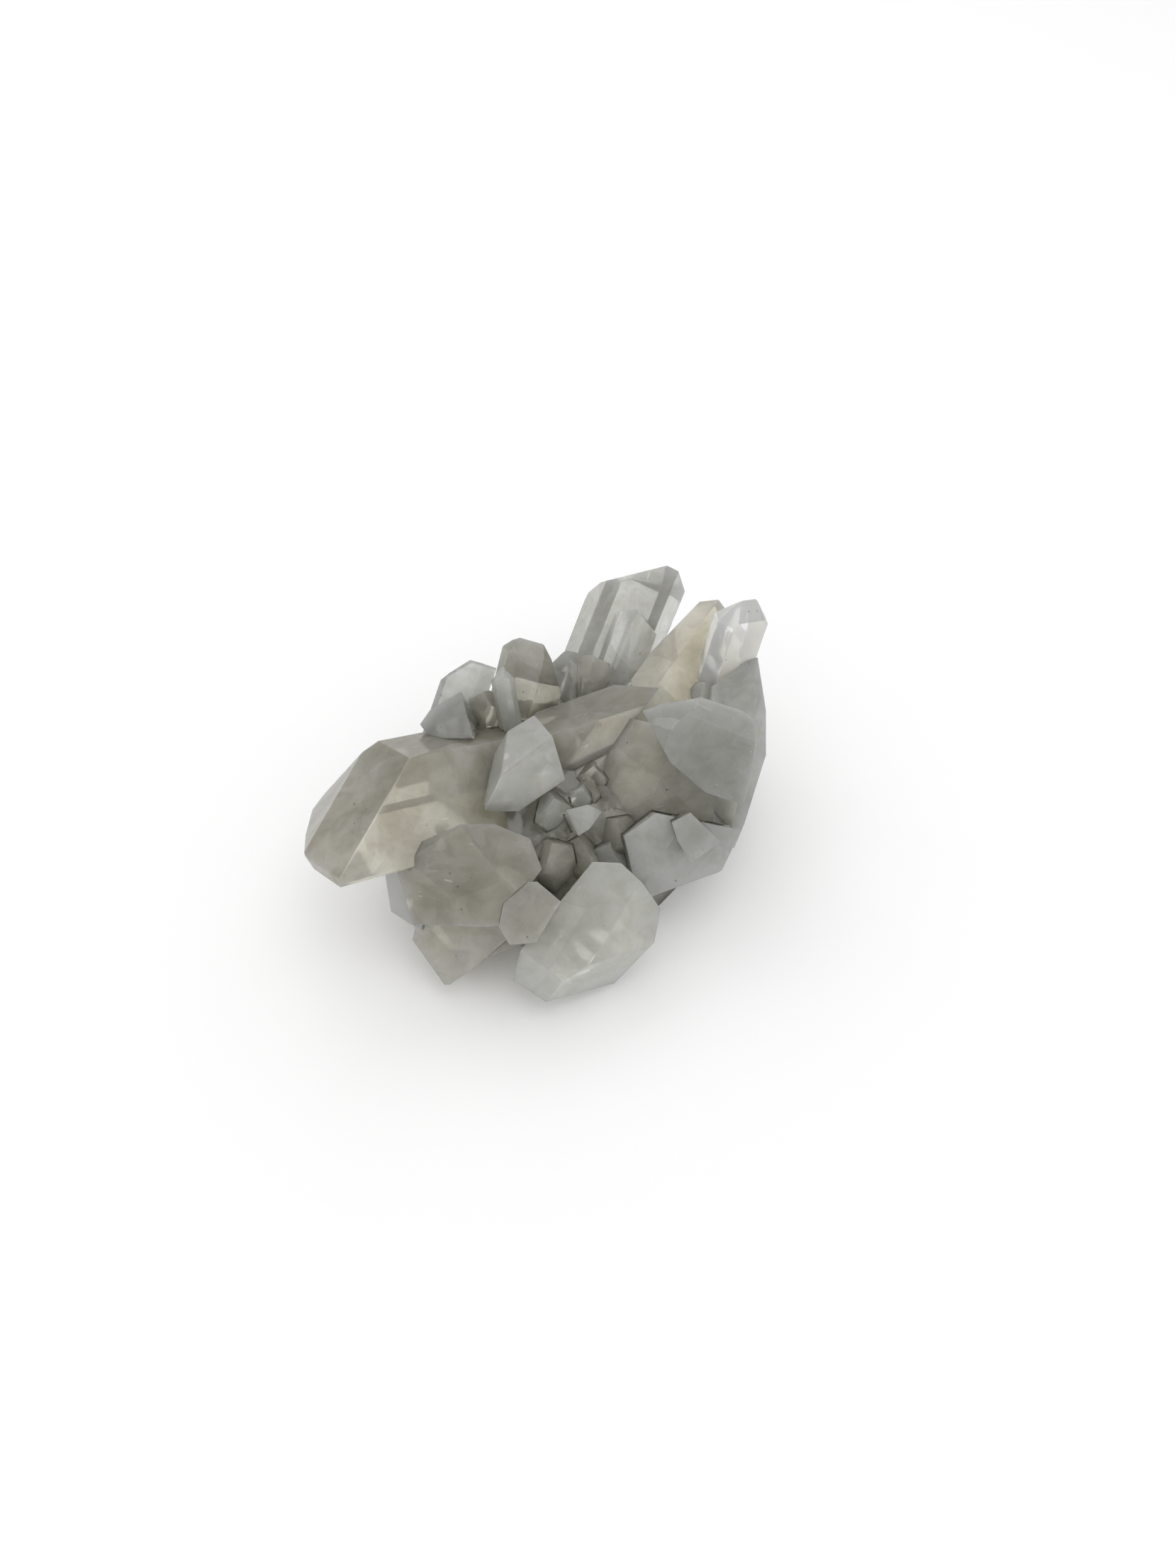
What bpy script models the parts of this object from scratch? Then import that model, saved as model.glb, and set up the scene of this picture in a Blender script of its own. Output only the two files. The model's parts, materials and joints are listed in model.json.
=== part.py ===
"""A hand-sized quartz crystal cluster: hexagonal crystals that grew out of one lump of massive quartz.

Each crystal is bounded by flat growth faces, so each is cut from a block by planes. A crystal that had room
to grow is described by its long axis: six side faces stand round the axis, and up to six tip faces close it
at quartz's own angle. A crystal that grew crowded by its neighbours is described face by face. Lengths are
in millimetres where pieces are described, and in metres in the meshes. +X is right, +Y is back, +Z is up.
"""
import math

import bmesh
import bpy
from mathutils import Vector

MM = 0.001
GAP = 0.3                 # clearance between pieces that touch, in millimetres
BLOCK = 400.0             # side of the block that every piece is cut from
TIP_ANGLE = 51.8          # between the long axis of quartz and the pole of a tip face, in degrees
SIDE_COUNT = 6
# A sprout is a little uneven. In radii: how far out its sides stand, and how far down its tip faces start.
UNEVEN_SIDES = (1, 0.85, 1.1, 0.95, 1.1, 0.9)
UNEVEN_TIP = (0, 0.5, 0.1, 0.7, 0.2, 0.4)
REST_HEIGHT = 0.0         # the cluster is cut flat at this height, and rests on it
MERGE = 0.00001           # corners closer than this are one corner, in metres
FLAT = 0.01               # neighbouring facets that turn less than this many radians are one facet


def direction(bearing, rise):
    """Unit vector of a bearing, measured from +X towards +Y, and a rise above the level, in degrees."""
    turn, lift = math.radians(bearing), math.radians(rise)
    return Vector((math.cos(lift) * math.cos(turn), math.cos(lift) * math.sin(turn), math.sin(lift)))


def quartz(root, tip, spin, sides, tips=(), flats=()):
    """Faces of a free-grown crystal, each as (outward direction, distance from the origin along it).

    sides are the distances from the axis to the six side faces. tips are how far below the tip each tip
    face crosses the axis, with None where there is no such face. flats are extra faces, each as a bearing,
    a rise and a distance from the root.
    """
    root, tip = Vector(root), Vector(tip)
    axis = (tip - root).normalized()
    across = Vector((0, 0, 1)).cross(axis).normalized()
    upper = axis.cross(across)
    lean = math.radians(TIP_ANGLE)
    faces = [(-axis, -axis.dot(root))]
    for number, reach in enumerate(sides):
        turn = math.radians(spin + 360 / SIDE_COUNT * number)
        side = math.cos(turn) * upper + math.sin(turn) * across
        faces.append((side, side.dot(root) + reach))
        if number < len(tips) and tips[number] is not None:
            pole = math.cos(lean) * axis + math.sin(lean) * side
            faces.append((pole, pole.dot(tip - axis * tips[number])))
    return faces + block(root, flats)


def sprout(root, tip, radius, spin):
    """Faces of a small regular crystal: a six-sided prism under a six-sided point, both a little uneven."""
    sides = [radius * share for share in UNEVEN_SIDES]
    tips = [radius * share for share in UNEVEN_TIP]
    return quartz(root, tip, spin, sides, tips)


def block(middle, faces):
    """Faces of a crowded crystal, each given as (bearing, rise, distance from the middle)."""
    planes = []
    for bearing, rise, reach in faces:
        outward = direction(bearing, rise)
        planes.append((outward, outward.dot(Vector(middle)) + reach))
    return planes


def cut_block(faces, grow=0.0):
    """A bmesh in metres of the block cut by the faces, each moved out by grow millimetres."""
    solid = bmesh.new()
    bmesh.ops.create_cube(solid, size=BLOCK * MM)
    for outward, reach in faces + [(Vector((0, 0, -1)), -REST_HEIGHT)]:
        cut = bmesh.ops.bisect_plane(
            solid, geom=solid.verts[:] + solid.edges[:] + solid.faces[:],
            plane_co=outward * (reach + grow) * MM, plane_no=outward, clear_outer=True)
        rim = [item for item in cut["geom_cut"] if isinstance(item, bmesh.types.BMEdge)]
        if rim:
            bmesh.ops.contextual_create(solid, geom=rim)
    bmesh.ops.remove_doubles(solid, verts=solid.verts[:], dist=MERGE)
    bmesh.ops.recalc_face_normals(solid, faces=solid.faces[:])
    return solid


def link(name, solid):
    """A new object that holds the bmesh."""
    mesh = bpy.data.meshes.new(name)
    solid.to_mesh(mesh)
    solid.free()
    piece = bpy.data.objects.new(name, mesh)
    bpy.context.scene.collection.objects.link(piece)
    return piece


def islands(solid):
    """The vertices of each separate body in a bmesh."""
    left, found = set(solid.verts), []
    while left:
        body, front = set(), [left.pop()]
        while front:
            vertex = front.pop()
            body.add(vertex)
            for edge in vertex.link_edges:
                other = edge.other_vert(vertex)
                if other in left:
                    left.discard(other)
                    front.append(other)
        found.append(body)
    return found


def body_size(body):
    """Diagonal of the box round a body's vertices, in metres."""
    low = Vector([min(vertex.co[axis] for vertex in body) for axis in range(3)])
    high = Vector([max(vertex.co[axis] for vertex in body) for axis in range(3)])
    return (high - low).length


def overlaps(first, second):
    """True where the boxes of two objects meet."""
    boxes = []
    for item in (first, second):
        corners = [vertex.co for vertex in item.data.vertices]
        boxes.append([(min(c[axis] for c in corners), max(c[axis] for c in corners)) for axis in range(3)])
    return all(a[0] < b[1] and b[0] < a[1] for a, b in zip(*boxes))


def carve(piece, cutters):
    """Cuts the piece by each cutter that reaches it, and keeps the largest body that is left."""
    near = [cutter for cutter in cutters if overlaps(piece, cutter)]
    for cutter in near:
        cut = piece.modifiers.new("clear_" + cutter.name, "BOOLEAN")
        cut.operation = "DIFFERENCE"
        cut.solver = "EXACT"
        cut.object = cutter
    evaluated = piece.evaluated_get(bpy.context.evaluated_depsgraph_get())
    solid = bmesh.new()
    solid.from_mesh(evaluated.to_mesh())
    evaluated.to_mesh_clear()
    piece.modifiers.clear()
    bodies = sorted(islands(solid), key=body_size)
    for body in bodies[:-1]:
        bmesh.ops.delete(solid, geom=list(body), context="VERTS")
    bmesh.ops.remove_doubles(solid, verts=solid.verts[:], dist=MERGE)
    bmesh.ops.dissolve_limit(solid, angle_limit=FLAT, verts=solid.verts[:], edges=solid.edges[:])
    bmesh.ops.triangulate(solid, faces=solid.faces[:])
    solid.to_mesh(piece.data)
    solid.free()


def stone(name, colour, roughness):
    """Principled material of one piece."""
    material = bpy.data.materials.new("quartz_" + name)
    material.use_nodes = True
    shader = material.node_tree.nodes["Principled BSDF"]
    shader.inputs["Base Color"].default_value = (*colour, 1)
    shader.inputs["Roughness"].default_value = roughness
    shader.inputs["Metallic"].default_value = 0
    return material


# Each kind of quartz in the cluster: its colour and its roughness.
CLEAR = ((0.42, 0.41, 0.37), 0.12)
PALE = ((0.38, 0.38, 0.35), 0.20)
SMOKY = ((0.27, 0.26, 0.22), 0.18)
BROWN = ((0.22, 0.20, 0.15), 0.22)
GREY = ((0.28, 0.28, 0.27), 0.25)

# Oldest first: a piece keeps its shape, and every later piece is cut clear of it.
PIECES = []


def piece(name, kind, faces):
    PIECES.append((name, kind, faces))


# The main crystal leans out over the front left, and its broad tip is cut mostly by one face.
piece("main_crystal", SMOKY, quartz(
    root=(11.5, 16.5, 10.5), tip=(-52.5, -30, 41), spin=40,
    sides=(12, 19.5, 8.5, 17.5, 13.5, 13.5), tips=(None, None, None, None, None, 8.5),
    flats=[(165, 40, 53), (130, -10, 16), (-170, -15, 63.5), (-150, -30, 56.5), (-140, 15, 85),
           (-125, -25, 62)]))

# A long beam with a tapering left face runs from under the main crystal to the back right.
piece("long_beam", SMOKY, quartz(
    root=(2, -22, 13), tip=(48.5, 40.5, 39), spin=15,
    sides=(10.5, 9, 9.5, 9.5, 9.5, 8.5),
    flats=[(50, 10, 79.5), (90, 35, 69.5), (125, -20, 13)]))

# The clearest crystal stands nearly upright at the back right.
piece("clear_upright", CLEAR, quartz(
    root=(43, 17, 14.5), tip=(52.5, 26.5, 59), spin=45,
    sides=(6.5, 5, 5.5, 7, 4, 6.5), tips=(-3, 0.5, -2.5, -3.5, -1, -3)))

# A wide flat crystal leans away at the back, with a shorter one lying against its front.
piece("tall_back", GREY, quartz(
    root=(11.5, 30, 9), tip=(30, 60.5, 44), spin=30,
    sides=(13, 9, 11, 11.5, 11, 9),
    flats=[(110, 45, 37), (160, 20, 15.5), (140, 35, 27.5), (65, 25, 44)]))
piece("tall_back_companion", GREY, quartz(
    root=(16, 21, 18), tip=(27.5, 39.5, 44.5), spin=50,
    sides=(6, 4.5, 6.5, 5, 6, 5.5),
    flats=[(95, 40, 29.5), (25, 30, 28)]))

# Behind the main crystal stands a stubby brown one, with a sprout at its foot.
piece("upper_left_crystal", BROWN, quartz(
    root=(-9.5, 10, 9.5), tip=(1, 30, 42.5), spin=40,
    sides=(9, 6, 5.5, 10, 5.5, 6.5), tips=(-7.5, -4, 5, 1, -3.5, -4.5)))
piece("upper_left_sprout", PALE, quartz(
    root=(-6, 8.5, 31.5), tip=(-8, 14, 46.5), spin=15,
    sides=(3, 3, 2, 4, 2, 3),
    flats=[(150, 55, 14.5), (35, 55, 13.5)]))

# The last crystal on the left has a frosted shoulder grown against it.
piece("far_left_crystal", GREY, quartz(
    root=(-27, 3, 17.5), tip=(-15.5, 23, 42), spin=35,
    sides=(7, 4, 6.5, 5.5, 5, 5.5),
    flats=[(130, 35, 20.5), (110, 40, 27), (115, -30, 0), (70, 40, 32.5)]))
piece("far_left_sprout", GREY, block((-19, 7, 30), [
    (-120, 65, 11), (140, -5, 4), (-150, -30, 4), (115, 5, 3.5), (10, 15, 5), (-90, -25, 3.5),
    (90, -50, 9)]))

# A short bright crystal lies across the main one.
piece("rider_crystal", CLEAR, block((-3, -8, 35), [
    (-75, 30, 6.5), (-165, 65, 6.5), (-20, -60, 5), (30, 0, 7.5), (180, 30, 6), (-110, -65, 7.5),
    (105, -10, 6)]))

# This ridge carries the line of the main crystal on to the beam.
piece("ridge_crystal", SMOKY, block((10, 6, 29), [
    (-100, 45, 7.5), (155, 70, 7.5), (95, -20, 6.5), (60, -10, 13), (-30, -25, 8), (165, 10, 12),
    (-90, -40, 12), (90, -50, 7)]))

# A blunt white crystal is the nearest one, and leans out at the foot of the front.
piece("white_front_crystal", CLEAR, block((13, -42, 17), [
    (-105, 60, 6), (-60, 35, 8.5), (-120, 20, 13), (-65, -5, 10), (140, 0, 7.5), (85, 20, 14),
    (45, 10, 14.5), (-155, -75, 13), (140, 10, 7.5), (30, -35, 10.5)]))

# Three crystals crowd the right side: a wide fan, a rounded grey one below it, and a pale one between.
piece("fan_crystal", PALE, block((43, -5, 40), [
    (-70, 70, 9.5), (-95, 45, 8), (105, 10, 7.5), (75, 5, 5), (55, 0, 6), (0, -10, 8.5), (-5, -15, 9),
    (-170, -30, 8.5), (-150, -45, 7), (-120, -55, 8.5)]))
piece("pale_right_crystal", PALE, block((37, -20, 27), [
    (-80, 45, 8), (125, 35, 3.5), (45, 20, 2), (-170, -15, 2.5), (-160, -25, 2.5), (-35, -50, 4),
    (90, -50, 8)]))
piece("grey_right_crystal", GREY, block((32, -18, 16), [
    (-80, 35, 11), (135, 35, 10), (75, 40, 9), (0, -30, 10.5), (-35, -60, 5.5), (-55, -60, 5),
    (-165, -5, 10), (-130, -35, 12), (90, -50, 14.5)]))

# A thin grey crystal closes the right side.
piece("right_wall_crystal", GREY, block((49, 2, 25), [
    (-50, 50, 7), (30, -25, 7.5), (20, -30, 5.5), (0, -40, 4.5), (-5, -45, 5.5), (135, 35, 19),
    (180, 0, 4.5), (-70, -40, 19.5)]))

# An oval brown face shows between the front crystals.
piece("oval_crystal", BROWN, block((-1, -35, 16), [
    (-80, 55, 20), (135, 20, 1.5), (170, 5, 4), (95, 25, 2), (50, 15, 2), (-155, -20, 6), (-85, -45, 4.5),
    (-25, -20, 5.5), (90, -50, 9.5)]))

# A many-faced crystal fills the front left, with a thin clear blade beside it.
piece("front_left_crystal", SMOKY, block((-16, -35, 30), [
    (-115, 60, 5.5), (-110, 50, 5.5), (-120, 25, 7), (-25, 75, 8.5), (-180, 65, 8.5), (115, 10, 9.5),
    (155, -30, 11.5), (100, 0, 6.5), (75, -5, 9), (25, -20, 14), (-30, -20, 15), (-60, -60, 9.5)]))
piece("front_left_blade", CLEAR, block((-27, -27, 15), [
    (-135, 45, 8), (165, -40, 3.5), (-120, -55, 6.5), (100, 50, 6.5), (-10, -5, 3.5), (90, -50, 9.5)]))

# Two flat crystals grow out underneath it.
piece("bottom_left_crystal", SMOKY, block((-16, -40, 9), [
    (-105, 45, 6.5), (-165, -40, 7.5), (155, -5, 10), (-80, -55, 8), (-35, -35, 5), (-40, -40, 5),
    (90, 40, 8.5), (10, 5, 13), (90, -30, 8)]))
piece("bottom_middle_crystal", SMOKY, block((-6, -38, 13), [
    (-100, 45, 5.5), (-55, -50, 4), (180, 0, 7), (90, 40, 4.5), (10, 5, 7.5), (90, -30, 6.5)]))

# Small crystals fill the hollow in the middle.
piece("tiny_bright_crystal", CLEAR, block((12, -20, 31), [
    (-60, 50, 4.5), (-120, 45, 3.5), (100, 25, 2), (70, 15, 2), (-30, -45, 1.5), (-20, -40, 1.5),
    (-155, -5, 3)]))
piece("hollow_sprout", PALE, sprout(root=(3, -12, 10), tip=(6, -17, 36), radius=4.5, spin=10))
piece("thin_sprout", PALE, sprout(root=(11, -10, 14), tip=(12, -14, 36), radius=2.5, spin=30))
piece("middle_sprout", BROWN, sprout(root=(14, -7, 16), tip=(13, -13, 36), radius=3, spin=0))
piece("green_sprout", SMOKY, sprout(root=(14, -4, 17), tip=(15, -7, 36), radius=3.5, spin=20))
piece("corner_sprout", BROWN, sprout(root=(21, -16, 9), tip=(20, -20, 32), radius=4.5, spin=40))
piece("pink_sprout", PALE, sprout(root=(19, -20, 6), tip=(18, -25, 28), radius=5, spin=15))
piece("brown_sprout", BROWN, sprout(root=(8, -23, 3), tip=(4, -26, 31), radius=5, spin=30))
piece("ribbed_sprout", BROWN, sprout(root=(12, -21, 5), tip=(11, -24, 30), radius=5, spin=5))

# Sprouts at the feet of the tall crystals.
piece("tall_back_sprout", BROWN, sprout(root=(14, 26, 21), tip=(15, 25, 43), radius=4, spin=10))
piece("saddle_sprout", GREY, sprout(root=(11, 29, 21), tip=(6, 30, 40), radius=3.8, spin=40))
piece("left_sprout", BROWN, sprout(root=(-12, 11, 26), tip=(-13, 12, 44), radius=3.6, spin=20))
piece("clear_foot_sprout", CLEAR, sprout(root=(45, 17, 27), tip=(42, 15, 43), radius=3.4, spin=10))

# A broad brown face lies under the fan.
piece("brown_flat_crystal", BROWN, block((29, -5, 22), [
    (-85, 40, 11), (-140, 50, 13), (70, 40, 17), (-10, -5, 21.5), (-90, -40, 11.5), (90, -50, 10.5)]))

# The lump that all of them grew from. It is flat underneath, so the cluster stands firmly.
piece("matrix", BROWN, block((8, 0, 0), [
    (-95, 25, 33.5), (-140, 20, 40), (175, 15, 44), (130, 25, 38), (85, 20, 40), (45, 15, 47), (0, 20, 42),
    (-40, 10, 33), (-70, 30, 31.5), (0, 90, 30), (70, 60, 32), (-110, 60, 33), (180, 60, 34), (0, 60, 32)]))


def main():
    for old in list(bpy.data.objects):
        bpy.data.objects.remove(old)
    cutters, pieces = [], []
    for name, (colour, roughness), faces in PIECES:
        made = link(name, cut_block(faces))
        carve(made, cutters)
        made.data.materials.append(stone(name, colour, roughness))
        pieces.append(made)
        cutter = link(name + "_clearance", cut_block(faces, GAP))
        cutter.hide_render = True
        cutter.display_type = "WIRE"
        cutters.append(cutter)
    for cutter in cutters:
        bpy.data.objects.remove(cutter)
    centre_on_base(pieces)


def centre_on_base(pieces):
    """Moves every mesh, so that the cluster's box stands at zero with its middle over the origin."""
    corners = [vertex.co for made in pieces for vertex in made.data.vertices]
    low = Vector([min(corner[axis] for corner in corners) for axis in range(3)])
    high = Vector([max(corner[axis] for corner in corners) for axis in range(3)])
    shift = Vector(((low.x + high.x) / 2, (low.y + high.y) / 2, low.z))
    for made in pieces:
        for vertex in made.data.vertices:
            vertex.co -= shift


main()
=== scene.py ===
import json
import math

import bmesh
import bpy
import numpy
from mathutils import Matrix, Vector, noise
from mathutils.bvhtree import BVHTree


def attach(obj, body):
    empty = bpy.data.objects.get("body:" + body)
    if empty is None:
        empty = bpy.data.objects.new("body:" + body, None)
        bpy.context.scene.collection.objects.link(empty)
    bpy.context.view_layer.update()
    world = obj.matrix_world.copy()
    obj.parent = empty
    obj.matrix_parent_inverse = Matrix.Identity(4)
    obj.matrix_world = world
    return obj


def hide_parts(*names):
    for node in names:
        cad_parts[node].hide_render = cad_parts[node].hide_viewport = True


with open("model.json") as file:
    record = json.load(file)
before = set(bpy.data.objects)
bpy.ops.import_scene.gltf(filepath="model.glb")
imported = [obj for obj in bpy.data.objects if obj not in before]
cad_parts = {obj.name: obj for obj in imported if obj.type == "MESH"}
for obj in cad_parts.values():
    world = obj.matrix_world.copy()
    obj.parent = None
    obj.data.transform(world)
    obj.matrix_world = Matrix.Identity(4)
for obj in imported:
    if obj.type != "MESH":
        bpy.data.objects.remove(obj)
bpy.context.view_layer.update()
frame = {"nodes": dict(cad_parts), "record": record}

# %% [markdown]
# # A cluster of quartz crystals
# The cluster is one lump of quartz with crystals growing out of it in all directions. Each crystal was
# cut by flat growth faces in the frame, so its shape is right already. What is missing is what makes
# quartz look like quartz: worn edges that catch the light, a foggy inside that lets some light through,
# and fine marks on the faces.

MM = 0.001
nodes = frame["nodes"]

# %% [markdown]
# ## Camera
# A hand-held camera looks down on the cluster from the side of its nearest crystal. The lens is a wide
# one, held close, so the near crystals look a little bigger than the far ones.

# %% Camera
ELEVATION = math.radians(50)
DISTANCE = 313 * MM
TARGET = Vector((11.3, -4.3, 20)) * MM    # what the middle of the frame looks at
LENS = 28                                 # focal length, on a sensor 36 high
SENSOR = 36


def direction(bearing, rise):
    """Unit vector of a bearing, measured from +X towards +Y, and a rise above the level, in degrees."""
    turn, lift = math.radians(bearing), math.radians(rise)
    return Vector((math.cos(lift) * math.cos(turn), math.cos(lift) * math.sin(turn), math.sin(lift)))


def add_camera():
    data = bpy.data.cameras.new("camera")
    data.lens = LENS
    data.sensor_fit = "VERTICAL"
    data.sensor_height = SENSOR
    camera = bpy.data.objects.new("camera", data)
    bpy.context.scene.collection.objects.link(camera)
    away = Vector((0, -math.cos(ELEVATION), math.sin(ELEVATION)))
    camera.location = TARGET + away * DISTANCE
    camera.rotation_euler = away.to_track_quat("Z", "Y").to_euler()
    bpy.context.scene.camera = camera
    return camera


camera = add_camera()
print("camera at", [round(value / MM) for value in camera.location], "mm")

# %% [markdown]
# ## Floor
# The cluster lies on white paper. Clear stone shows what is around it, so the paper matters: it sends
# light back into the stone from below.

# %% Floor
FLOOR_SIZE = 10.0
PAPER = (0.85, 0.85, 0.85, 1)
PAPER_ROUGHNESS = 0.9


def add_floor():
    bpy.ops.mesh.primitive_plane_add(size=FLOOR_SIZE)
    floor = bpy.context.object
    floor.name = "floor"
    finish = bpy.data.materials.new("paper")
    finish.use_nodes = True
    shader = finish.node_tree.nodes["Principled BSDF"]
    shader.inputs["Base Color"].default_value = PAPER
    shader.inputs["Roughness"].default_value = PAPER_ROUGHNESS
    floor.data.materials.append(finish)
    return floor


print("floor", add_floor().dimensions.x, "m wide")

# %% [markdown]
# ## Light
# A white sky lights the stone softly from everywhere, as in a room with big windows. One broad lamp
# behind it on the left puts a sheen on the faces that look up, and a small one on the right picks out the
# edges.

# %% Lights
SKY = (1, 1, 1, 1)
SKY_STRENGTH = 1.0


def add_area_light(name, bearing, rise, away, size, power):
    data = bpy.data.lights.new(name, "AREA")
    data.shape = "RECTANGLE"
    data.size, data.size_y = size
    data.energy = power
    lamp = bpy.data.objects.new(name, data)
    bpy.context.scene.collection.objects.link(lamp)
    lamp.location = direction(bearing, rise) * away
    lamp.rotation_euler = direction(bearing, rise).to_track_quat("Z", "Y").to_euler()
    return lamp


def add_sky():
    world = bpy.data.worlds.new("studio")
    world.use_nodes = True
    world.node_tree.nodes["Background"].inputs["Color"].default_value = SKY
    world.node_tree.nodes["Background"].inputs["Strength"].default_value = SKY_STRENGTH
    bpy.context.scene.world = world


add_sky()
lamps = [
    add_area_light("window", bearing=120, rise=50, away=1.0, size=(0.9, 0.5), power=1.5),
    add_area_light("ceiling", bearing=-30, rise=75, away=1.1, size=(0.7, 0.7), power=1.5),
]
print(len(lamps), "lamps")

# %% [markdown]
# ## Node helpers
# Every finish below is a tree of small nodes. These helpers add one node each and hand back its output,
# so that a tree reads like a sum.

# %% Node helpers
def connect(tree, value, socket):
    """Links an output to a socket, or sets the socket to a plain value."""
    if isinstance(value, bpy.types.NodeSocket):
        tree.links.new(value, socket)
    else:
        socket.default_value = value


def add_node(tree, kind, **settings):
    node = tree.nodes.new(kind)
    for name, value in settings.items():
        setattr(node, name, value)
    return node


def add_math(tree, operation, first, second):
    node = add_node(tree, "ShaderNodeMath", operation=operation)
    connect(tree, first, node.inputs[0])
    connect(tree, second, node.inputs[1])
    return node.outputs["Value"]


def add_vector_math(tree, operation, first, second):
    node = add_node(tree, "ShaderNodeVectorMath", operation=operation)
    connect(tree, first, node.inputs[0])
    connect(tree, second, node.inputs[1])
    return node.outputs["Value" if operation == "DOT_PRODUCT" else "Vector"]


def add_noise(tree, place, scale, detail=4, roughness=0.55):
    node = add_node(tree, "ShaderNodeTexNoise")
    connect(tree, place, node.inputs["Vector"])
    node.inputs["Scale"].default_value = scale
    node.inputs["Detail"].default_value = detail
    node.inputs["Roughness"].default_value = roughness
    return node.outputs["Fac"]


def add_step(tree, value, low, high, bottom=0.0, top=1.0):
    """Eases from bottom to top while the value goes from low to high."""
    node = add_node(tree, "ShaderNodeMapRange", interpolation_type="SMOOTHSTEP")
    connect(tree, value, node.inputs["Value"])
    for name, number in (("From Min", low), ("From Max", high), ("To Min", bottom), ("To Max", top)):
        connect(tree, number, node.inputs[name])
    return node.outputs["Result"]


def add_mix(tree, share, first, second, blend="MIX"):
    node = add_node(tree, "ShaderNodeMix", data_type="RGBA", blend_type=blend, clamp_result=True)
    connect(tree, share, node.inputs["Factor"])
    connect(tree, first, node.inputs["A"])
    connect(tree, second, node.inputs["B"])
    return node.outputs["Result"]


print("node helpers are ready")

# %% [markdown]
# ## Fog
# Quartz like this is clear only in places. Most of it is filled with fine fog that grew in layers, so it
# lies in drifting veils, and old cracks that healed cut it into flat patches, each a shade lighter or
# darker than the next. Noise that is bent by a second noise gives veils, where plain noise would give
# round blots. Voronoi cells have straight borders, so they give the patches. Small open cracks are cells
# too, and where the fog is thick a few of them get a painted highlight, near-white colour that stands
# for the light they reflect.
#
# A node group is one effect with named inputs and outputs. It is built once, and each stone uses it with
# its own values.

# %% A group and its sockets
FLOAT, VECTOR = "NodeSocketFloat", "NodeSocketVector"


def new_group(name, inputs, outputs):
    group = bpy.data.node_groups.new(name, "ShaderNodeTree")
    for label, kind, value in inputs:
        socket = group.interface.new_socket(label, in_out="INPUT", socket_type=kind)
        socket.default_value = value
    for label in outputs:
        group.interface.new_socket(label, in_out="OUTPUT", socket_type=FLOAT)
    return group, group.nodes.new("NodeGroupInput").outputs, group.nodes.new("NodeGroupOutput").inputs


print("a group's sockets are made with the group")

# %% Fog group
BROAD_VEILS = 45          # noise cells in a metre
WISPS = 230
VEIL_EDGE = (0.36, 0.68)  # values of the noise between which the fog sets in
WISP_EDGE = (0.36, 0.70)
BEND_SCALE = 80
BEND = 0.014              # how far the second noise bends the first, in metres
PATCHES = 75              # healed patches in a metre
FLASHES = 330             # open cracks in a metre, few of which get a painted highlight
CRACK_SHAPE = (1, 1, 0.4)    # a crack is two and a half times as tall as it is wide
SHINING = 0.80            # the share of cracks without a painted highlight, even where some have one
CRACK_EDGE = (0.52, 0.60)    # cracks get a painted highlight only where the noise of the veils is above this


def make_fog_group():
    inputs = [("Offset", VECTOR, (0, 0, 0))]
    group, given, made = new_group("fog", inputs, ["Veils", "Wisps", "Patches", "Painted_flashes"])
    place = add_node(group, "ShaderNodeTexCoord").outputs["Object"]
    moved = add_vector_math(group, "ADD", place, given["Offset"])
    bend = add_node(group, "ShaderNodeTexNoise")
    connect(group, moved, bend.inputs["Vector"])
    bend.inputs["Scale"].default_value = BEND_SCALE
    bent = add_vector_math(group, "MULTIPLY", bend.outputs["Color"], (BEND, BEND, BEND))
    swept = add_vector_math(group, "ADD", moved, bent)
    veils = add_noise(group, swept, BROAD_VEILS, detail=3)
    wisps = add_noise(group, swept, WISPS, detail=5, roughness=0.65)
    cells = add_node(group, "ShaderNodeTexVoronoi")
    connect(group, moved, cells.inputs["Vector"])
    cells.inputs["Scale"].default_value = PATCHES
    shade = add_node(group, "ShaderNodeSeparateColor")
    connect(group, cells.outputs["Color"], shade.inputs["Color"])
    connect(group, add_step(group, veils, *VEIL_EDGE), made["Veils"])
    connect(group, add_step(group, wisps, *WISP_EDGE), made["Wisps"])
    connect(group, shade.outputs["Red"], made["Patches"])
    cracks = add_node(group, "ShaderNodeTexVoronoi")
    connect(group, add_vector_math(group, "MULTIPLY", swept, CRACK_SHAPE), cracks.inputs["Vector"])
    cracks.inputs["Scale"].default_value = FLASHES
    chance = add_node(group, "ShaderNodeSeparateColor")
    connect(group, cracks.outputs["Color"], chance.inputs["Color"])
    shining = add_step(group, chance.outputs["Green"], SHINING, 1)
    somewhere = add_step(group, veils, *CRACK_EDGE)
    connect(group, add_math(group, "MULTIPLY", shining, somewhere), made["Painted_flashes"])
    return group


fog_group = make_fog_group()
print("the fog group has", len(fog_group.nodes), "nodes")

# %% [markdown]
# ## Painted light and shade by side
# A face of a clear crystal is a window, and how bright it looks depends on what the light meets behind
# it. So two faces of one crystal differ in tone even in soft light. The group below paints that into the
# colour: each stone gets one painted bright side, so faces that look that way are painted lighter than the
# stone, and faces that look the other way are painted darker, as painted shade.

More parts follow.
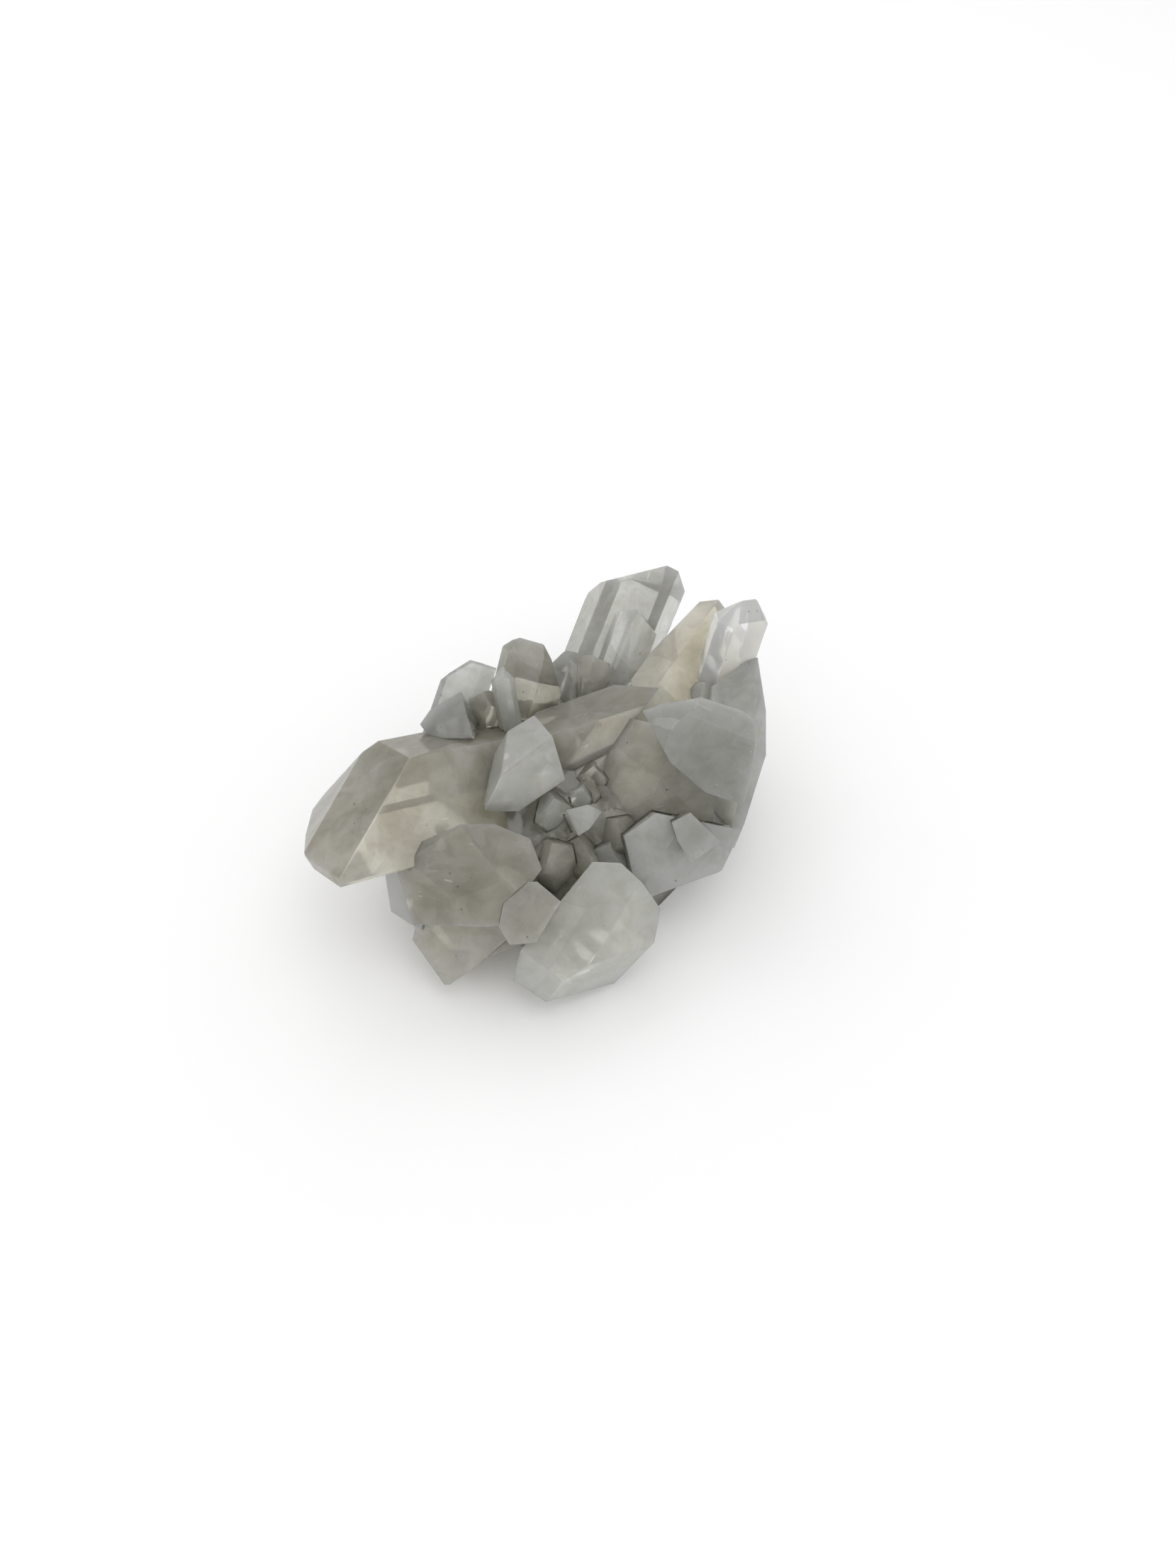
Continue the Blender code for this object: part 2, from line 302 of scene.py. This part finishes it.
# %% Painted side shade group
def make_painted_side_shade_group():
    inputs = [("Side", VECTOR, (0, 0, 1)), ("Brightness", FLOAT, 1.0), ("Contrast", FLOAT, 0.2)]
    group, given, made = new_group("painted_side_shade", inputs, ["Tone"])
    normal = add_node(group, "ShaderNodeTexCoord").outputs["Normal"]
    # painted light and shade: a face is painted lighter or darker by how far it looks towards the bright
    # side
    facing = add_vector_math(group, "DOT_PRODUCT", normal, given["Side"])
    lift = add_math(group, "ADD", add_math(group, "MULTIPLY", facing, given["Contrast"]), 1.0)
    connect(group, add_math(group, "MULTIPLY", lift, given["Brightness"]), made["Tone"])
    return group


painted_side_shade_group = make_painted_side_shade_group()
print("the painted side shade group has", len(painted_side_shade_group.nodes), "nodes")

# %% [markdown]
# ## Marks on the faces
# Looked at closely, the faces carry short bright scratches, dark specks where grains of rock are caught
# in the skin, and low ridges that run across a crystal as it grew. The scratches are noise that is
# stretched along the crystal. The specks are the middles of Voronoi cells.

# %% Marks group
SCRATCHES = 1500          # noise cells in a metre
STRETCH = 0.1             # a scratch is ten times as long as it is wide
BARE = 90                 # scratches come in groups, with bare stone between, this many in a metre
SPECKS = 330
SPECK_SIZE = 0.06
RIDGES = 700
RIDGE_HEIGHT = 0.25       # of a ridge, where a hill is 1
HILLS = 110
SCRATCH_EDGE = (0.70, 0.78)  # values of the noise between which scratches set in
BARE_EDGE = (0.50, 0.60)
SPECK_GROUPS = SPECKS / 4    # specks come in groups too
SPECK_GROUP_EDGE = (0.56, 0.62)


def make_marks_group():
    inputs = [("Turn", VECTOR, (0, 0, 0)), ("Offset", VECTOR, (0, 0, 0))]
    group, given, made = new_group("marks", inputs, ["Scratches", "Specks", "Relief"])
    place = add_node(group, "ShaderNodeTexCoord").outputs["Object"]
    turned = add_node(group, "ShaderNodeVectorRotate", rotation_type="EULER_XYZ")
    connect(group, place, turned.inputs["Vector"])
    connect(group, given["Turn"], turned.inputs["Rotation"])
    along = add_vector_math(group, "ADD", turned.outputs["Vector"], given["Offset"])
    thin = add_vector_math(group, "MULTIPLY", along, (1, 1, STRETCH))
    lines = add_step(group, add_noise(group, thin, SCRATCHES, detail=1), *SCRATCH_EDGE)
    here = add_step(group, add_noise(group, along, BARE, detail=1), *BARE_EDGE)
    connect(group, add_math(group, "MULTIPLY", lines, here), made["Scratches"])
    cells = add_node(group, "ShaderNodeTexVoronoi")
    connect(group, along, cells.inputs["Vector"])
    cells.inputs["Scale"].default_value = SPECKS
    dots = add_step(group, cells.outputs["Distance"], SPECK_SIZE, SPECK_SIZE * 2, 1, 0)
    few = add_step(group, add_noise(group, along, SPECK_GROUPS, detail=1), *SPECK_GROUP_EDGE)
    connect(group, add_math(group, "MULTIPLY", dots, few), made["Specks"])
    across = add_vector_math(group, "MULTIPLY", along, (STRETCH, STRETCH, 1))
    ridges = add_math(group, "MULTIPLY", add_noise(group, across, RIDGES, detail=3), RIDGE_HEIGHT)
    connect(group, add_math(group, "ADD", ridges, add_noise(group, along, HILLS, detail=2)), made["Relief"])
    return group


marks_group = make_marks_group()
print("the marks group has", len(marks_group.nodes), "nodes")

# %% [markdown]
# ## The stones
# One function makes the finish of any stone in the cluster. It is a glassy surface: part of the light
# goes through it, and most of the rest wanders about in the fog below and comes out somewhere else. That
# is what tells quartz from china. A colour is given as a screen shows it, and turned into the linear
# values that a shader takes.

# %% Stone finish
def srgb(red, green, blue):
    channels = [value / 255 for value in (red, green, blue)]
    linear = [value / 12.92 if value <= 0.04045 else ((value + 0.055) / 1.055) ** 2.4 for value in channels]
    return (*linear, 1)


QUARTZ_IOR = 1.54
CLEARNESS = 0.65
GLOW = 0.8                # share of the fog that light wanders through before it comes out again
GLOW_DEPTH = 15 * MM      # how far it wanders
SMOOTHNESS = (0.04, 0.14)  # roughness of clear stone and of fog
FOG = srgb(236, 237, 234)
WISP = srgb(118, 114, 102)
PATCH = (0.93, 1.07)      # the darkest and the lightest patch
SPECK = srgb(62, 58, 50)
# near-white: the painted highlight of a flashing crack, and also the white of a scratch
PAINTED_GLINT_AND_SCRATCH = srgb(250, 250, 248)
WISP_SHARE = 0.4          # how much of a wisp, a scratch and a speck shows
SCRATCH_SHARE = 0.6
SPECK_SHARE = 0.6
RELIEF = 0.4 * MM         # height of the relief on a face
RELIEF_STRENGTH = 0.25


def place_group(tree, group, **values):
    node = add_node(tree, "ShaderNodeGroup", node_tree=group)
    for name, value in values.items():
        node.inputs[name].default_value = value
    return node.outputs


def stone_finish(name, colour, fog, painted_flash, painted_light_lift, side, side_shade_contrast, axis, offset):
    finish = bpy.data.materials.new("quartz_" + name)
    finish.use_nodes = True
    tree = finish.node_tree
    shader = tree.nodes["Principled BSDF"]
    shader.inputs["IOR"].default_value = QUARTZ_IOR
    shader.inputs["Transmission Weight"].default_value = CLEARNESS
    shader.inputs["Subsurface Weight"].default_value = GLOW
    shader.inputs["Subsurface Radius"].default_value = (1, 1, 1)
    shader.inputs["Subsurface Scale"].default_value = GLOW_DEPTH
    inside = place_group(tree, fog_group, Offset=offset)
    painted_side_light = place_group(tree, painted_side_shade_group, Side=side, Brightness=painted_light_lift, Contrast=side_shade_contrast)
    turn = axis.to_track_quat("Z", "Y").inverted().to_euler()
    marks = place_group(tree, marks_group, Turn=turn, Offset=offset)
    foggy = add_mix(tree, add_math(tree, "MULTIPLY", inside["Veils"], fog), colour, FOG)
    wispy = add_mix(tree, add_math(tree, "MULTIPLY", inside["Wisps"], WISP_SHARE), foggy, WISP, "SOFT_LIGHT")
    patched = add_mix(tree, 1.0, wispy, add_step(tree, inside["Patches"], 0, 1, *PATCH), "MULTIPLY")
    # painted light and shade: the painted bright side and the painted lift of hidden stones are multiplied
    # into the colour
    with_painted_shade = add_mix(tree, 1.0, patched, painted_side_light["Tone"], "MULTIPLY")
    # painted highlights: flashing cracks are painted near-white
    with_painted_flashes = add_mix(tree, add_math(tree, "MULTIPLY", inside["Painted_flashes"], painted_flash), with_painted_shade, PAINTED_GLINT_AND_SCRATCH)
    scratched = add_mix(tree, add_math(tree, "MULTIPLY", marks["Scratches"], SCRATCH_SHARE), with_painted_flashes, PAINTED_GLINT_AND_SCRATCH)
    specked = add_mix(tree, add_math(tree, "MULTIPLY", marks["Specks"], SPECK_SHARE), scratched, SPECK)
    connect(tree, specked, shader.inputs["Base Color"])
    connect(tree, add_step(tree, inside["Veils"], 0, 1, *SMOOTHNESS), shader.inputs["Roughness"])
    bump = add_node(tree, "ShaderNodeBump")
    bump.inputs["Strength"].default_value = RELIEF_STRENGTH
    bump.inputs["Distance"].default_value = RELIEF
    connect(tree, marks["Relief"], bump.inputs["Height"])
    connect(tree, bump.outputs["Normal"], shader.inputs["Normal"])
    return finish


print("stone finish is ready")

# %% [markdown]
# ## Kinds of quartz
# The stones are of five kinds, by how smoky and how foggy they are, and the frame's record says which
# stone is of which kind. The rest is worked out from the shapes in the frame.
#
# Light leaks through the crystals of a real cluster, so that even its hollow isn't dark. These stones
# pass on less light, so painted light makes up for it: a stone's colour is made lighter the less sky it
# sees past the others. All of them also have one painted bright side, low at the front, where the paper
# shines up into them, and painted shade on the side away from it. The scratches on a stone follow the
# direction in which its corners spread the most.

# %% Kinds of quartz
# kind: colour, fog and painted flashes
KINDS = {
    "clear": (srgb(192, 192, 186), 0.25, 0.7),
    "pale": (srgb(160, 161, 155), 0.20, 0.35),
    "smoky": (srgb(146, 142, 129), 0.20, 0.15),
    "brown": (srgb(144, 142, 131), 0.15, 0.1),
    "grey": (srgb(156, 156, 152), 0.20, 0.35),
}
# painted light: how much a stone's colour is lifted, by how much sky it sees
OPEN_PAINTED_LIFT = 1.0     # of a stone that sees the whole sky
HIDDEN_PAINTED_LIFT = 2.6   # of a stone that sees none of it
# the way the painted bright side looks, low at the front, standing for the paper's light
PAINTED_LIGHT_SIDE = direction(-90, -30)
PAINTED_SIDE_CONTRAST = 0.3
NEXT_FOG = Vector((0.37, 0.21, 0.53))    # from one stone's fog to the next one's
SKY_BEARINGS = range(0, 360, 45)
SKY_RISES = (10, 35, 60, 85)
SKY_RAYS = [direction(bearing, rise) for bearing in SKY_BEARINGS for rise in SKY_RISES]
OUTSIDE = 0.4 * MM        # a ray starts this far outside its face


def faces_of(stones):
    """One search tree of the faces of all these stones."""
    corners, faces = [], []
    for stone in stones:
        start = len(corners)
        corners += [vertex.co for vertex in stone.data.vertices]
        faces += [[start + index for index in face.vertices] for face in stone.data.polygons]
    return BVHTree.FromPolygons(corners, faces)


def sky_share(stone, cluster):
    """How much of the sky's light that would fall on the stone alone still does in the cluster."""
    alone = together = 0
    for face in stone.data.polygons:
        start = face.center + face.normal * OUTSIDE
        for ray in SKY_RAYS:
            light = face.area * max(0, face.normal.dot(ray))
            alone += light
            if light > 0 and cluster.ray_cast(start, ray)[0] is None:
                together += light
    return together / alone


def long_axis(stone):
    corners = numpy.array([vertex.co for vertex in stone.data.vertices])
    spread, axes = numpy.linalg.eigh(numpy.cov(corners.T))
    axis = Vector(axes[:, spread.argmax()])
    return axis if axis.z > 0 else -axis


def finish_stones():
    cluster = faces_of(nodes.values())
    for number, part in enumerate(frame["record"]["subparts"]):
        name, kind = part["node"], part["material_slot"]
        stone = nodes[name]
        # painted light for the hollow: the less sky a stone sees, the lighter its colour is painted
        painted_light_lift = HIDDEN_PAINTED_LIFT + (OPEN_PAINTED_LIFT - HIDDEN_PAINTED_LIFT) * sky_share(stone, cluster)
        look = (*KINDS[kind], painted_light_lift, PAINTED_LIGHT_SIDE, PAINTED_SIDE_CONTRAST, long_axis(stone), NEXT_FOG * number)
        stone.data.materials.clear()
        stone.data.materials.append(stone_finish(name, *look))
        print(name, "is", kind, "and has brightness", round(painted_light_lift, 2))


finish_stones()

# %% [markdown]
# ## Broken matrix
# The lump that the crystals grew from was broken off its rock. Quartz breaks like glass, in shallow
# scoops with sharp rims between them. The frame's matrix has flat faces, so a copy of it is divided
# finely and its skin is pressed in. The scoops are Voronoi cells, deepest at the middle. Nothing is
# pressed in where a crystal is rooted, or the crystal would seem to float, and the underside stays flat.

# %% Divide a copy of the matrix
SAME_CORNER = 0.02 * MM   # corners nearer to each other than this are one corner
FINE = 1.5 * MM           # edges longer than this are halved
ROUNDS = 6                # times that long edges are halved, which leaves very few of them longer than that


def divided_copy(node):
    solid = bmesh.new()
    solid.from_mesh(node.data)
    solid.transform(node.matrix_world)
    bmesh.ops.remove_doubles(solid, verts=solid.verts[:], dist=SAME_CORNER)
    for _ in range(ROUNDS):
        long_edges = [edge for edge in solid.edges if edge.calc_length() > FINE]
        bmesh.ops.subdivide_edges(solid, edges=long_edges, cuts=1)
        bmesh.ops.triangulate(solid, faces=solid.faces[:])
    return solid


lump = divided_copy(nodes["matrix"])
print("the matrix has", len(lump.verts), "corners")

# %% Press in the scoops
SCOOP = 11 * MM           # how wide a scoop is
SCOOP_DEPTH = 2.2 * MM
GRIT = 2.2 * MM
GRIT_DEPTH = 0.3 * MM
FOOT = 0.05 * MM          # the underside is everything lower than this
SKIRT = 4 * MM            # above the underside: up to here the pressing in grows to its full depth
NEAR, FAR = 0.5 * MM, 3 * MM    # from the nearest crystal: where pressing in starts, and where it is full
RIM = math.radians(28)    # a sharper turn than this is a rim


def press_in(solid, around):
    solid.normal_update()
    for vertex in solid.verts:
        clearance = around.find_nearest(vertex.co)[3]
        if vertex.co.z > FOOT and clearance > NEAR:
            nearest_cell = noise.voronoi(vertex.co / SCOOP)[0][0]
            scoop = SCOOP_DEPTH * max(0, 1 - nearest_cell ** 2)
            grit = GRIT_DEPTH * (noise.noise(vertex.co / GRIT) + 1) / 2
            share = min(1, (clearance - NEAR) / (FAR - NEAR), (vertex.co.z - FOOT) / SKIRT)
            vertex.co -= vertex.normal * (scoop + grit) * share
            vertex.co.z = max(vertex.co.z, FOOT)
    solid.normal_update()
    for face in solid.faces:
        face.smooth = True
    for edge in solid.edges:
        edge.smooth = edge.calc_face_angle(0) < RIM


def add_broken_matrix():
    press_in(lump, faces_of(node for name, node in nodes.items() if name != "matrix"))
    mesh = bpy.data.meshes.new("broken_matrix")
    lump.to_mesh(mesh)
    lump.free()
    piece = bpy.data.objects.new("broken_matrix", mesh)
    bpy.context.scene.collection.objects.link(piece)
    mesh.materials.append(nodes["matrix"].data.materials[0])
    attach(piece, "root")
    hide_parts("matrix")
    return piece


broken = add_broken_matrix()
print("the broken matrix measures", [round(side / MM, 1) for side in broken.dimensions], "mm")

# %% [markdown]
# ## Worn edges
# No edge of a real crystal is perfectly sharp. A narrow bevel gives each edge a thin facet that catches
# the light. The frame's meshes are loose triangles, so a Weld modifier joins their corners first, and the
# bevel takes only the edges that turn sharply.

# %% Worn edges
EDGE_WEAR = 0.25 * MM
SHARP = math.radians(14)


def wear_edges(node):
    weld = node.modifiers.new("weld", "WELD")
    weld.merge_threshold = SAME_CORNER
    bevel = node.modifiers.new("worn_edges", "BEVEL")
    bevel.width = EDGE_WEAR
    bevel.segments = 2
    bevel.limit_method = "ANGLE"
    bevel.angle_limit = SHARP


for node in nodes.values():
    wear_edges(node)
print("edges worn by", EDGE_WEAR / MM, "mm")

# %% Colour
bpy.context.scene.view_settings.view_transform = "Standard"
